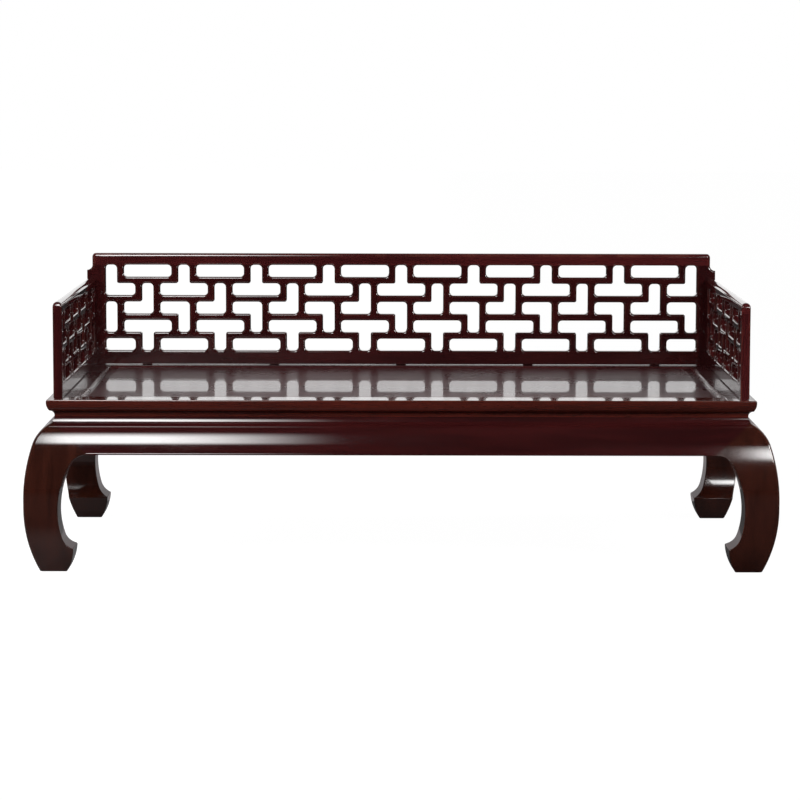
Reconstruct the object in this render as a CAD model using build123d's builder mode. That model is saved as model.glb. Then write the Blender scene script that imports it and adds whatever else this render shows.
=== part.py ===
from build123d import *
from collections import namedtuple
from itertools import groupby
import os

# Luohan daybed: a low couch with a three-sided lattice railing, a framed panel seat, and swelling
# aprons that run into legs with inward-turning hoof feet. Solid timber, joined without metal.
# Frame: origin on the floor under the middle of the bed, +X to the sitter's left as seen from the
# front (the viewer's right), +Y to the rear, +Z up. All sizes are in millimetres.

# ---------------------------------------------------------------- driving dimensions
overall_width = 2100.0          # over the swell of the legs, left to right
overall_depth = 1175.0          # over the swell of the legs, front to rear
seat_height = 480.0             # floor to the top of the seat rails
leg_swell = 60.0                # how far legs and aprons swell out past the seat rails
fit_gap = 0.2                   # clearance round loose tenons, tongues and keys

# seat rails: moulded outside, grooved inside for the panel
rail_thickness = 48.0
rail_width = 96.0               # to the grooved inner face
rail_lip = 8.0                  # upright flat at the top of the moulding
ovolo_in = 8.0
ovolo_drop = 22.5
fillet_in = 4.8                 # small step between ovolo and cove
fillet_drop = 1.5
cove_in = 8.7
cove_drop = 13.0
rail_chamfer = 6.0              # inner top edge, sloping down to the panel
groove_depth = 12.0
mitre_tenon_reach = 60.0        # tenon of a long rail, across the mitre
mitre_tenon_width = 30.0
mitre_tenon_thickness = 8.0
mitre_tenon_set_in = 20.0       # from the outer face of the short rail
mitre_tenon_lift = 18.0         # above the underside of the rail

# seat panel and the battens that carry it
panel_thickness = 18.0
panel_sink = 3.0                # raised field below the top of the rails
margin_width = 22.0             # sunk margin round the raised field
margin_sink = 7.0               # margin below the field
tongue_length = 10.0
field_rounding = 3.0
batten_count = 5
batten_end = 106.0              # middle of the end battens in from the short rails
batten_width = 40.0
batten_height = 25.0
dovetail_height = 5.0
dovetail_neck = 20.0
dovetail_head = 26.0
batten_tenon_length = 12.0
batten_tenon_width = 20.0
batten_tenon_height = 14.0
batten_tenon_lift = 4.0         # above the underside of the batten

# waist, aprons
waist_height = 14.0
waist_foot_inset = 16.0         # foot of its face behind the edge of the seat rail
apron_height = 87.0
apron_foot_inset = 55.0         # back of the apron behind the swell, at its lower edge
apron_back_inset = 44.0         # back of waist and apron behind the edge of the seat rail, at the top
apron_tenon_length = 30.0       # loose tenons that hang waist and apron from the rail
apron_tenon_thickness = 6.0
apron_tenon_height = 40.0
apron_tenon_in_rail = 10.0
apron_tenon_inset = 26.0
front_tenon_count = 5
side_tenon_count = 3
front_tenon_end = 190.0         # middle of the end tenons in from the edge of the seat
side_tenon_end = 247.5

# legs: every level section is a square, so front and side elevations share one outline
shoulder_inset = 23.5           # where the long curve of the face meets the short one above it
shoulder_drop = 60.0            # below the apron's top edge
swell_head = 203.0              # the face stands upright between these two heights
swell_foot = 181.0
foot_inset = 41.0
foot_width = 75.0
hoof_reach = 137.0              # tip of the hoof behind the swell
hoof_height = 67.0
hoof_belly = 5.0                # how far the hoof's inner face swells past a straight line
instep_inset = 107.0
instep_height = 99.0
shank_inset = 96.0              # inner face where the leg is slimmest
shank_height = 172.0
calf_inset = 128.6              # where the inner curve turns into the apron
calf_drop = 29.0                # below the apron's lower edge
mitre_reach = 180.0             # foot of the mitre between leg and apron
leg_core = 139.0                # inner limit of the leg's solid corner
post_set_back = 2.0             # post behind the back of the apron
leg_tenon_height = 14.0
leg_tenon_long = 18.0
leg_tenon_thick = 9.0
leg_tenon_edge = 2.0

# railing panels
panel_slot = 4.0                # open slot under the bottom rails
bottom_rail_height = 40.0
frame_tenon_length = 20.0
frame_tenon_thickness = 10.0
frame_tenon_shoulder = 8.0
key_width = 30.0
key_thickness = 12.0
key_depth = 15.0                # key in the rail above and in the seat rail below

back_height = 346.0             # above the seat rails
back_thickness = 36.0
back_inset = 23.0               # rear face in from the edge of the seat rail
back_top_rail = 36.0
back_stile = 56.0
back_shoulder = 16.0            # hollow step at each end, under the top rail
back_top_rounding = 8.0
back_corner_radius = 10.0
back_bar = 20.0
back_columns = 33
back_rows = 5
back_key_count = 5
back_key_end = 184.0            # middle of the end keys in from the ends of the panel

side_height = 271.0
side_thickness = 26.0
side_inset = 18.0               # outer face in from the edge of the seat rail
side_front_inset = 27.0
side_top_rail = 29.0
side_stile = 33.6
side_top_rounding = 12.0        # nearly a full round
side_front_rounding = 4.0
side_bar = 19.0
side_columns = 17
side_rows = 4
side_key_count = 3
side_key_end = 154.5

corner_radius = 12.0            # rounding inside each opening of the lattice
outer_radius = 4.0              # rounding outside the corner of two bars
bar_tenon_length = 8.0
bar_tenon_width = 12.0
bar_tenon_thickness = 8.0
corner_key_width = 12.0
corner_key_height = 30.0
corner_key_depth = 10.0
corner_key_heights = (100.0, 215.0)     # above the seat rails

# ---------------------------------------------------------------- places worked out from them
half_width = overall_width / 2
half_depth = overall_depth / 2
seat_half_width = half_width - leg_swell
seat_half_depth = half_depth - leg_swell
rail_bottom = seat_height - rail_thickness
apron_top = rail_bottom - waist_height
apron_bottom = apron_top - apron_height
waist_top_inset = ovolo_in + fillet_in + cove_in
post_near = leg_swell + apron_back_inset + post_set_back
panel_length = 2 * (seat_half_width - rail_width)
panel_depth = 2 * (seat_half_depth - rail_width)
panel_bottom = seat_height - panel_sink - panel_thickness
margin_top = seat_height - panel_sink - margin_sink
bottom_rail_foot = seat_height + panel_slot
bottom_rail_top = bottom_rail_foot + bottom_rail_height
back_rear = seat_half_depth - back_inset
back_front = back_rear - back_thickness
panel_half_width = seat_half_width - side_inset
back_top = seat_height + back_height
side_front = -seat_half_depth + side_front_inset
side_top = seat_height + side_height
seat_front_left = (-seat_half_width, -seat_half_depth)
seat_front_right = (seat_half_width, -seat_half_depth)
seat_rear_left = (-seat_half_width, seat_half_depth)

os.makedirs("parts", exist_ok=True)


# ---------------------------------------------------------------- helpers
def save(part, name):
    """Label a finished piece and write its STEP file."""
    part.label = name
    export_step(part, f"parts/{name}.step")


def span(x, y, z, mode=Mode.ADD):
    """A box between three (low, high) pairs."""
    middle = [(low + high) / 2 for low, high in (x, y, z)]
    with Locations(tuple(middle)):
        Box(*[high - low for low, high in (x, y, z)], mode=mode)


def around(middle, size):
    """The (low, high) pair of a size centred on a middle."""
    return (middle - size / 2, middle + size / 2)


def loose(pair):
    """The pocket for a (low, high) pair, with the fitting clearance."""
    return (pair[0] - fit_gap, pair[1] + fit_gap)


def spaced(count, half_length, end):
    """Places of an even, centred row, whose outermost ones stand in by an end distance."""
    return [(2 * index / (count - 1) - 1) * (half_length - end) for index in range(count)]


def mitre(corner, inward):
    """Cut the current part at a seat corner, keeping the side that the inward vector points to."""
    split(bisect_by=Plane(origin=(*corner, 0), z_dir=(*inward, 0)), keep=Keep.TOP)


def mitre_long():
    """Mitre both ends of a front member."""
    mitre(seat_front_left, (1, -1))
    mitre(seat_front_right, (-1, -1))


def mitre_short():
    """Mitre both ends of a left member."""
    mitre(seat_front_left, (-1, 1))
    mitre(seat_rear_left, (-1, -1))


def mirrored(part, about, name):
    """Save a piece that is the mirror image of another."""
    with BuildPart() as image:
        mirror(part, about=about)
    save(image.part, name)


# ---------------------------------------------------------------- loose tenons and keys
def apron_tenon_boxes(along_x):
    """Boxes of the loose tenons of the front apron, or of the left apron."""
    if along_x:
        places = spaced(front_tenon_count, seat_half_width, front_tenon_end)
        edge = -seat_half_depth
    else:
        places = spaced(side_tenon_count, seat_half_depth, side_tenon_end)
        edge = -seat_half_width
    across = (edge + apron_tenon_inset, edge + apron_tenon_inset + apron_tenon_thickness)
    top = rail_bottom + apron_tenon_in_rail
    boxes = []
    for place in places:
        along = around(place, apron_tenon_length)
        plan = (along, across) if along_x else (across, along)
        boxes.append((*plan, (top - apron_tenon_height, top)))
    return boxes


def back_key_boxes():
    """Boxes of the keys between the back panel and the rear seat rail."""
    depth = around((back_front + back_rear) / 2, key_thickness)
    height = (seat_height - key_depth, bottom_rail_foot + key_depth)
    places = spaced(back_key_count, panel_half_width, back_key_end)
    return [(around(place, key_width), depth, height) for place in places]


def side_key_boxes():
    """Boxes of the keys between the left panel and the left seat rail."""
    middle = (side_front + back_front) / 2
    across = around(-panel_half_width + side_thickness / 2, key_thickness)
    height = (seat_height - key_depth, bottom_rail_foot + key_depth)
    places = spaced(side_key_count, (back_front - side_front) / 2, side_key_end)
    return [(across, around(middle + place, key_width), height) for place in places]


def corner_key_boxes():
    """Boxes of the keys between the left panel and the back panel."""
    across = around(-panel_half_width + side_thickness / 2, corner_key_width)
    depth = around(back_front, 2 * corner_key_depth)
    heights = [around(seat_height + height, corner_key_height) for height in corner_key_heights]
    return [(across, depth, height) for height in heights]


def save_boxes(boxes, name, *mirrors):
    """Save a group of loose boxes, with their mirror images."""
    with BuildPart() as group:
        for box in boxes:
            span(*box)
        for about in mirrors:
            mirror(about=about)
    save(group.part, name)


def cut_pockets(boxes):
    """Cut the pockets of loose boxes in the current part."""
    for box in boxes:
        span(*[loose(pair) for pair in box], mode=Mode.SUBTRACT)


save_boxes(apron_tenon_boxes(True), "apron_tenons_long", Plane.XZ)
save_boxes(apron_tenon_boxes(False), "apron_tenons_short", Plane.YZ)
save_boxes(back_key_boxes(), "back_panel_keys")
save_boxes(side_key_boxes(), "side_panel_keys", Plane.YZ)
save_boxes(corner_key_boxes(), "railing_corner_keys", Plane.YZ)


# ---------------------------------------------------------------- legs
def face_ends(edge):
    """Upper and lower end of the face of apron and leg."""
    return (edge + leg_swell + waist_foot_inset, apron_top), (edge + foot_inset, 0)


def draw_face(edge):
    """Draw the swelling face of apron and leg, from the waist to the foot."""
    head, foot = face_ends(edge)
    shoulder = (edge + shoulder_inset, apron_top - shoulder_drop)
    long_curve = TangentArc((edge, swell_head), shoulder, tangent=(0, 1))
    TangentArc(shoulder, head, tangent=long_curve % 1)
    Line((edge, swell_head), (edge, swell_foot))
    TangentArc((edge, swell_foot), foot, tangent=(0, -1))


def leg_outline(plane, half_size):
    """Elevation of a leg at the low end of a half size, with its mitred shoulder."""
    edge = -half_size
    head, heel = face_ends(edge)
    toe = (heel[0] + foot_width, 0)
    tip = (edge + hoof_reach, hoof_height)
    instep = (edge + instep_inset, instep_height)
    shank = (edge + shank_inset, shank_height)
    calf = (edge + calf_inset, apron_bottom - calf_drop)
    mitre_foot = (edge + mitre_reach, apron_bottom)
    with BuildSketch(plane) as outline:
        with BuildLine():
            draw_face(edge)
            Line(heel, toe)
            SagittaArc(toe, tip, -hoof_belly)
            lower_shank = TangentArc(shank, instep, tangent=(0, -1))
            TangentArc(instep, tip, tangent=lower_shank % 1)
            upper_shank = TangentArc(shank, calf, tangent=(0, 1))
            TangentArc(calf, mitre_foot, tangent=upper_shank % 1)
            Line(mitre_foot, head)
        make_face()
    return outline.sketch


def apron_section(plane, half_size):
    """Section of an apron whose face swells to the low end of a half size, carried down to the floor."""
    edge = -half_size
    back = edge + leg_swell + apron_back_inset
    head, heel = face_ends(edge)
    foot_back = edge + apron_foot_inset
    with BuildSketch(plane) as section:
        with BuildLine():
            draw_face(edge)
            Polyline(heel, (foot_back, 0), (foot_back, apron_bottom), (back, apron_top), head)
        make_face()
    return section.sketch


front_outline = leg_outline(Plane.XZ.offset(half_depth), half_width)
side_outline = leg_outline(Plane.YZ.offset(-half_width), half_depth)
front_section = apron_section(Plane.YZ.offset(-half_width), half_depth)
side_section = apron_section(Plane.XZ.offset(half_depth), half_width)
corner_x = (-half_width, -half_width + mitre_reach)
corner_y = (-half_depth, -half_depth + mitre_reach)
wing_foot = apron_bottom - calf_drop

with BuildPart() as front_wing:
    extrude(front_outline, amount=mitre_reach, dir=(0, 1, 0))
    extrude(front_section, amount=mitre_reach, dir=(1, 0, 0), mode=Mode.INTERSECT)
    span(corner_x, corner_y, (wing_foot, apron_top), mode=Mode.INTERSECT)
    mitre(seat_front_left, (1, -1))

with BuildPart() as side_wing:
    extrude(side_outline, amount=mitre_reach, dir=(1, 0, 0))
    extrude(side_section, amount=mitre_reach, dir=(0, 1, 0), mode=Mode.INTERSECT)
    span(corner_x, corner_y, (wing_foot, apron_top), mode=Mode.INTERSECT)
    mitre(seat_front_left, (-1, 1))


def leg_tenon_boxes():
    """Boxes of the tenons on a leg: one into the long rail, one into the short rail."""
    near = post_near + leg_tenon_edge
    far = leg_core - leg_tenon_edge
    along = (far - leg_tenon_long, far)
    across = (near, near + leg_tenon_thick)
    boxes = []
    for from_x, from_y in ((along, across), (across, along)):
        plan_x = (-half_width + from_x[0], -half_width + from_x[1])
        plan_y = (-half_depth + from_y[0], -half_depth + from_y[1])
        boxes.append((plan_x, plan_y, (rail_bottom, rail_bottom + leg_tenon_height)))
    return boxes


with BuildPart() as leg:
    extrude(front_outline, amount=leg_core, dir=(0, 1, 0))
    extrude(side_outline, amount=leg_core, dir=(1, 0, 0), mode=Mode.INTERSECT)
    add(front_wing.part)
    add(side_wing.part)
    post_x = (-half_width + post_near, -half_width + leg_core)
    post_y = (-half_depth + post_near, -half_depth + leg_core)
    span(post_x, post_y, (apron_bottom, rail_bottom))
    for tenon in leg_tenon_boxes():
        span(*tenon)
save(leg.part, "leg_front_left")
mirrored(leg.part, Plane.YZ, "leg_front_right")
mirrored(leg.part, Plane.XZ, "leg_rear_left")
with BuildPart() as opposite_leg:
    mirror(leg.part, about=Plane.XZ)
mirrored(opposite_leg.part, Plane.YZ, "leg_rear_right")


# ---------------------------------------------------------------- aprons
def mitred_front(plane, half_size):
    """Elevation of an apron between the mitred shoulders of its legs."""
    foot = half_size - mitre_reach
    head = half_size - leg_swell - waist_foot_inset
    with BuildSketch(plane) as front:
        with BuildLine():
            lower_edge = [(-foot, apron_bottom), (foot, apron_bottom)]
            Polyline(*lower_edge, (head, apron_top), (-head, apron_top), close=True)
        make_face()
    return front.sketch


with BuildPart() as front_apron:
    extrude(front_section, amount=overall_width, dir=(1, 0, 0))
    front_face = mitred_front(Plane.XZ.offset(half_depth), half_width)
    extrude(front_face, amount=mitre_reach, dir=(0, 1, 0), mode=Mode.INTERSECT)
    mitre_long()
    cut_pockets(apron_tenon_boxes(True))
save(front_apron.part, "apron_front")
mirrored(front_apron.part, Plane.XZ, "apron_rear")

with BuildPart() as left_apron:
    extrude(side_section, amount=overall_depth, dir=(0, 1, 0))
    side_face = mitred_front(Plane.YZ.offset(-half_width), half_depth)
    extrude(side_face, amount=mitre_reach, dir=(1, 0, 0), mode=Mode.INTERSECT)
    mitre_short()
    cut_pockets(apron_tenon_boxes(False))
save(left_apron.part, "apron_left")
mirrored(left_apron.part, Plane.YZ, "apron_right")


# ---------------------------------------------------------------- waist strips and seat rails
def waist_section(plane, half_size):
    """Section of a waist strip whose face looks to the low end of a seat half size."""
    edge = -half_size
    with BuildSketch(plane) as section:
        with BuildLine():
            Polyline(
                (edge + waist_top_inset, rail_bottom),
                (edge + waist_foot_inset, apron_top),
                (edge + apron_back_inset, apron_top),
                (edge + apron_back_inset, rail_bottom),
                close=True,
            )
        make_face()
    return section.sketch


def rail_section(plane, half_size):
    """Section of a seat rail: lip, ovolo, step and cove outside, chamfer and panel groove inside."""
    edge = -half_size
    lip_foot = (edge, seat_height - rail_lip)
    ovolo_foot = (edge + ovolo_in, lip_foot[1] - ovolo_drop)
    cove_head = (ovolo_foot[0] + fillet_in, ovolo_foot[1] - fillet_drop)
    cove_foot = (cove_head[0] + cove_in, cove_head[1] - cove_drop)
    inner = edge + rail_width
    with BuildSketch(plane) as section:
        with BuildLine():
            Line((edge, seat_height), lip_foot)
            TangentArc(lip_foot, ovolo_foot, tangent=(0, -1))
            Line(ovolo_foot, cove_head)
            TangentArc(cove_foot, cove_head, tangent=(0, 1))
            Polyline(
                cove_foot,
                (cove_foot[0], rail_bottom),
                (inner, rail_bottom),
                (inner, seat_height - rail_chamfer),
                (inner - rail_chamfer, seat_height),
                (edge, seat_height),
            )
        make_face()
        groove = [loose((panel_bottom, margin_top)), (inner - groove_depth, inner)]
        with Locations((sum(groove[1]) / 2, sum(groove[0]) / 2)):
            Rectangle(groove_depth, groove[0][1] - groove[0][0], mode=Mode.SUBTRACT)
    return section.sketch


def mitre_tenon_boxes():
    """Boxes of the tenons that a front rail sends across its two mitres."""
    reach = (mitre_tenon_set_in, mitre_tenon_set_in + mitre_tenon_reach)
    depth_high = -seat_half_depth + reach[1]
    depth = (depth_high - mitre_tenon_width, depth_high)
    height = (rail_bottom + mitre_tenon_lift, rail_bottom + mitre_tenon_lift + mitre_tenon_thickness)
    left = (-seat_half_width + reach[0], -seat_half_width + reach[1])
    right = (seat_half_width - reach[1], seat_half_width - reach[0])
    return [(left, depth, height), (right, depth, height)]


batten_places = spaced(batten_count, panel_length / 2, batten_end)


def batten_tenon_boxes():
    """Boxes of the tenons at the front ends of the battens."""
    inner = -seat_half_depth + rail_width
    foot = panel_bottom - batten_height + batten_tenon_lift
    height = (foot, foot + batten_tenon_height)
    depth = (inner - batten_tenon_length, inner)
    return [(around(place, batten_tenon_width), depth, height) for place in batten_places]


with BuildPart() as front_waist:
    extrude(waist_section(Plane.YZ.offset(-seat_half_width), seat_half_depth), amount=2 * seat_half_width)
    mitre_long()
    cut_pockets(apron_tenon_boxes(True))
save(front_waist.part, "waist_front")
mirrored(front_waist.part, Plane.XZ, "waist_rear")

with BuildPart() as left_waist:
    extrude(waist_section(Plane.XZ.offset(seat_half_depth), seat_half_width), amount=-2 * seat_half_depth)
    mitre_short()
    cut_pockets(apron_tenon_boxes(False))
save(left_waist.part, "waist_left")
mirrored(left_waist.part, Plane.YZ, "waist_right")

leg_tenons_left = leg_tenon_boxes()
with BuildPart() as front_rail:
    extrude(rail_section(Plane.YZ.offset(-seat_half_width), seat_half_depth), amount=2 * seat_half_width)
    mitre_long()
    for tenon in mitre_tenon_boxes():
        span(*tenon)
    cut_pockets(apron_tenon_boxes(True))
    cut_pockets(batten_tenon_boxes())
    with BuildPart(mode=Mode.PRIVATE) as leg_mortises:
        for tenon in leg_tenons_left:
            span(*[loose(pair) for pair in tenon])
        mirror(about=Plane.YZ)
    add(leg_mortises.part, mode=Mode.SUBTRACT)
save(front_rail.part, "seat_rail_front")

with BuildPart() as rear_rail:
    mirror(front_rail.part, about=Plane.XZ)
    cut_pockets(back_key_boxes())
save(rear_rail.part, "seat_rail_rear")

with BuildPart() as left_rail:
    extrude(rail_section(Plane.XZ.offset(seat_half_depth), seat_half_width), amount=-2 * seat_half_depth)
    mitre_short()
    cut_pockets(apron_tenon_boxes(False))
    cut_pockets(side_key_boxes())
    with BuildPart(mode=Mode.PRIVATE) as corner_mortises:
        for tenon in leg_tenons_left + mitre_tenon_boxes():
            span(*[loose(pair) for pair in tenon])
        mirror(about=Plane.XZ)
    add(corner_mortises.part, mode=Mode.SUBTRACT)
save(left_rail.part, "seat_rail_left")
mirrored(left_rail.part, Plane.YZ, "seat_rail_right")


# ---------------------------------------------------------------- seat panel and battens
def dovetail(plane, clearance, length):
    """A dovetail ridge that runs from front to rear, or with a clearance its groove."""
    neck = dovetail_neck / 2 + clearance
    head = dovetail_head / 2 + clearance
    top = panel_bottom + dovetail_height + clearance
    with BuildSketch(plane) as section:
        with BuildLine():
            Polyline((-neck, panel_bottom), (neck, panel_bottom), (head, top), (-head, top), close=True)
        make_face()
    return extrude(section.sketch, amount=length, dir=(0, 1, 0), mode=Mode.PRIVATE)


with BuildPart() as seat_panel:
    with BuildSketch(Plane.XY.offset(panel_bottom)):
        Rectangle(panel_length + 2 * tongue_length, panel_depth + 2 * tongue_length)
    extrude(amount=margin_top - panel_bottom)
    with BuildSketch(Plane.XY.offset(margin_top)):
        Rectangle(panel_length - 2 * margin_width, panel_depth - 2 * margin_width)
    extrude(amount=margin_sink)
    fillet(seat_panel.edges().group_by(Axis.Z)[-1], radius=field_rounding)
    groove = dovetail(Plane.XZ.offset(seat_half_depth), fit_gap, 2 * seat_half_depth)
    for place in batten_places:
        add(groove.moved(Location((place, 0, 0))), mode=Mode.SUBTRACT)
save(seat_panel.part, "seat_panel")

with BuildPart() as batten:
    width = around(0, batten_width)
    length = around(0, panel_depth - 2 * fit_gap)
    span(width, length, (panel_bottom - batten_height, panel_bottom))
    add(dovetail(Plane.XZ.offset(panel_depth / 2 - fit_gap), 0, panel_depth - 2 * fit_gap))
    foot = panel_bottom - batten_height + batten_tenon_lift
    tenon_length = around(0, panel_depth + 2 * batten_tenon_length)
    span(around(0, batten_tenon_width), tenon_length, (foot, foot + batten_tenon_height))
for number, place in enumerate(batten_places, start=1):
    save(batten.part.moved(Location((place, 0, 0))), f"seat_batten_{number}")


# ---------------------------------------------------------------- railing lattice
# A railing panel is drawn on its own plane: across, then up. Its openings form a grid; row 0 is the top
# one. Each pattern line is for one row, a letter for each column, and repeats along the panel.
Panel = namedtuple("Panel", "plane thickness left sill columns rows column_pitch row_pitch bar")
Bar = namedtuple("Bar", "across up webs tenons free_corners")
rail_pattern = (".###", "##.#", ".###", "##.#")                    # where wood (#) lies under a row
upright_pattern = ("#..#", ".##.", "#.#.", "#..#", ".##.")          # where wood (#) stands after a column


def opening_across(panel, column):
    low = panel.left + column * panel.column_pitch
    return (low, low + panel.column_pitch - panel.bar)


def opening_up(panel, row):
    low = panel.sill + (panel.rows - 1 - row) * panel.row_pitch
    return (low, low + panel.row_pitch - panel.bar)


def is_wood(pattern, row, column):
    """What a repeating pattern says of a place in the grid."""
    letters = pattern[row % len(pattern)]
    return letters[column % len(letters)] == "#"


def has_rail(panel, line, column):
    """Whether wood lies level under row number line (-1 is the top rail) in a column."""
    return line in (-1, panel.rows - 1) or is_wood(rail_pattern, line, column)


def has_upright(row, line):
    """Whether wood stands after column number line in a row."""
    return is_wood(upright_pattern, row, line)


def passes(panel, level, line):
    """Whether an upright runs unbroken past a level line of the grid."""
    if level in (-1, panel.rows - 1):
        return False
    crossed = has_rail(panel, level, line) and has_rail(panel, level, line + 1)
    return has_upright(level, line) and has_upright(level + 1, line) and not crossed


def webs_beside(panel, rows, edge, column, side):
    """Rounded corners where an upright edge meets level wood, as (across, up, side, rise)."""
    webs = []
    for row in rows:
        low, high = opening_up(panel, row)
        if has_rail(panel, row - 1, column):
            webs.append((edge, high, side, -1))
        if has_rail(panel, row, column):
            webs.append((edge, low, side, 1))
    return webs


def lattice_rails(panel, level):
    """The level bars between two rows of openings."""
    up = (opening_up(panel, level + 1)[1], opening_up(panel, level)[0])
    tenon_up = around(sum(up) / 2, bar_tenon_width)
    bars = []
    for wooden, group in groupby(range(panel.columns), key=lambda column: has_rail(panel, level, column)):
        run = list(group)
        if not wooden:
            continue
        ends = [opening_across(panel, run[0])[0], opening_across(panel, run[-1])[1]]
        tenons = []
        free_corners = []
        for index, line, side in ((0, run[0] - 1, -1), (1, run[-1], 1)):
            if line in (-1, panel.columns - 1) or passes(panel, level, line):
                tip = ends[index] + side * bar_tenon_length
                tenons.append((tuple(sorted((ends[index], tip))), tenon_up))
                continue
            ends[index] += side * panel.bar
            above = has_upright(level, line)
            free_corners.append((ends[index], up[0] if above else up[1], -side, 1 if above else -1))
        bars.append(Bar(tuple(ends), up, [], tenons, free_corners))
    return bars


def lattice_uprights(panel, top_row):
    """The upright bars whose top end is at the top of a row."""
    bars = []
    for line in range(panel.columns - 1):
        if not has_upright(top_row, line) or passes(panel, top_row - 1, line):
            continue
        foot_row = top_row
        while passes(panel, foot_row, line):
            foot_row += 1
        across = (opening_across(panel, line)[1], opening_across(panel, line + 1)[0])
        up = (opening_up(panel, foot_row)[0], opening_up(panel, top_row)[1])
        rows = range(top_row, foot_row + 1)
        webs = webs_beside(panel, rows, across[0], line, -1)
        webs += webs_beside(panel, rows, across[1], line + 1, 1)
        tenon_across = around(sum(across) / 2, bar_tenon_width)
        tenons = [
            (tenon_across, (up[1], up[1] + bar_tenon_length)),
            (tenon_across, (up[0] - bar_tenon_length, up[0])),
        ]
        bars.append(Bar(across, up, webs, tenons, []))
    return bars


def draw_boxes(boxes):
    """Draw (across, up) rectangles, all of one size after another, in the current sketch."""
    sizes = sorted({(round(a[1] - a[0], 6), round(u[1] - u[0], 6)) for a, u in boxes})
    for width, height in sizes:
        middles = [
            ((a[0] + a[1]) / 2, (u[0] + u[1]) / 2)
            for a, u in boxes
            if (round(a[1] - a[0], 6), round(u[1] - u[0], 6)) == (width, height)
        ]
        with Locations(*middles):
            Rectangle(width, height)


def draw_corners(corners, radius, mode=Mode.ADD):
    """Fill, or cut, the little corner pieces between two edges and the round that joins them."""
    for side, rise in sorted({corner[2:] for corner in corners}):
        with BuildSketch(mode=Mode.PRIVATE) as piece:
            with BuildLine():
                Polyline((0, rise * radius), (0, 0), (side * radius, 0))
                RadiusArc((side * radius, 0), (0, rise * radius), radius * side * rise)
            make_face()
        places = [corner[:2] for corner in corners if corner[2:] == (side, rise)]
        with Locations(*places):
            add(piece.sketch, mode=mode)


def save_bars(panel, bars, mortise_bars, name):
    """Save a group of lattice bars, with their tenons and the mortises of the bars that cross them."""
    with BuildPart() as group:
        with BuildSketch(panel.plane):
            draw_boxes([(bar.across, bar.up) for bar in bars])
            draw_corners([web for bar in bars for web in bar.webs], corner_radius)
            draw_corners([free for bar in bars for free in bar.free_corners], outer_radius, Mode.SUBTRACT)
        extrude(amount=panel.thickness)
        draw_tenons(panel, bars)
        cut_mortises(panel, mortise_bars)
    save(group.part, name)
    return group.part


def draw_tenons(panel, bars):
    """Add the stub tenons of bars to the current part."""
    tenons = [tenon for bar in bars for tenon in bar.tenons]
    if tenons:
        with BuildSketch(panel.plane.offset((panel.thickness - bar_tenon_thickness) / 2)) as ends:
            draw_boxes(tenons)
        extrude(ends.sketch, amount=bar_tenon_thickness)


def cut_mortises(panel, bars):
    """Cut the mortises for the stub tenons of bars in the current part."""
    tenons = [(loose(across), loose(up)) for bar in bars for across, up in bar.tenons]
    if tenons:
        with BuildSketch(panel.plane.offset((panel.thickness - bar_tenon_thickness) / 2 - fit_gap)) as ends:
            draw_boxes(tenons)
        extrude(ends.sketch, amount=bar_tenon_thickness + 2 * fit_gap, mode=Mode.SUBTRACT)


def frame_tenon(panel, across, up, mode=Mode.ADD):
    """Add a tenon between frame members to the current part, or cut its mortise."""
    gap = 0 if mode == Mode.ADD else fit_gap
    thickness = frame_tenon_thickness + 2 * gap
    with BuildSketch(panel.plane.offset((panel.thickness - thickness) / 2)) as end:
        draw_boxes([((across[0] - gap, across[1] + gap), (up[0] - gap, up[1] + gap))])
    extrude(end.sketch, amount=thickness, mode=mode)


def save_bottom_rail(panel, far_end, key_boxes, name):
    """Save the rail under the lattice, tenoned in the two stiles, and return it."""
    up = (bottom_rail_foot, panel.sill)
    tenon_up = (up[0] + frame_tenon_shoulder, up[1] - frame_tenon_shoulder)
    with BuildPart() as rail:
        with BuildSketch(panel.plane):
            draw_boxes([((panel.left, far_end), up)])
        extrude(amount=panel.thickness)
        for inner, side in ((panel.left, -1), (far_end, 1)):
            frame_tenon(panel, sorted((inner, inner + side * frame_tenon_length)), tenon_up)
        cut_mortises(panel, lattice_uprights_all(panel))
        cut_pockets(key_boxes)
    save(rail.part, name)
    return rail.part


def lattice_uprights_all(panel):
    """Every upright bar of a panel."""
    return [bar for row in range(panel.rows) for bar in lattice_uprights(panel, row)]


def lattice_rails_all(panel):
    """Every level bar of a panel."""
    return [bar for level in range(panel.rows - 1) for bar in lattice_rails(panel, level)]


def stile_tenon(across, head):
    """Place of the tenon on top of a stile, as (across, up)."""
    shouldered = (across[0] + frame_tenon_shoulder, across[1] - frame_tenon_shoulder)
    return shouldered, (head, head + frame_tenon_length)


def draw_stile(panel, across, column, side):
    """Add a stile to the current part; its lattice lies on the high side where side is 1."""
    inner = across[1] if side > 0 else across[0]
    head = opening_up(panel, 0)[1]
    with BuildSketch(panel.plane) as front:
        draw_boxes([(across, (seat_height, head))])
        draw_corners(webs_beside(panel, range(panel.rows), inner, column, side), corner_radius)
    extrude(front.sketch, amount=panel.thickness)


def mortise_stile(panel, across, side):
    """Cut the mortises of the bottom rail and of the lattice in the current stile."""
    inner = across[1] if side > 0 else across[0]
    tenon_up = (bottom_rail_foot + frame_tenon_shoulder, panel.sill - frame_tenon_shoulder)
    frame_tenon(panel, sorted((inner, inner - side * frame_tenon_length)), tenon_up, Mode.SUBTRACT)
    cut_mortises(panel, lattice_rails_all(panel))


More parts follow.
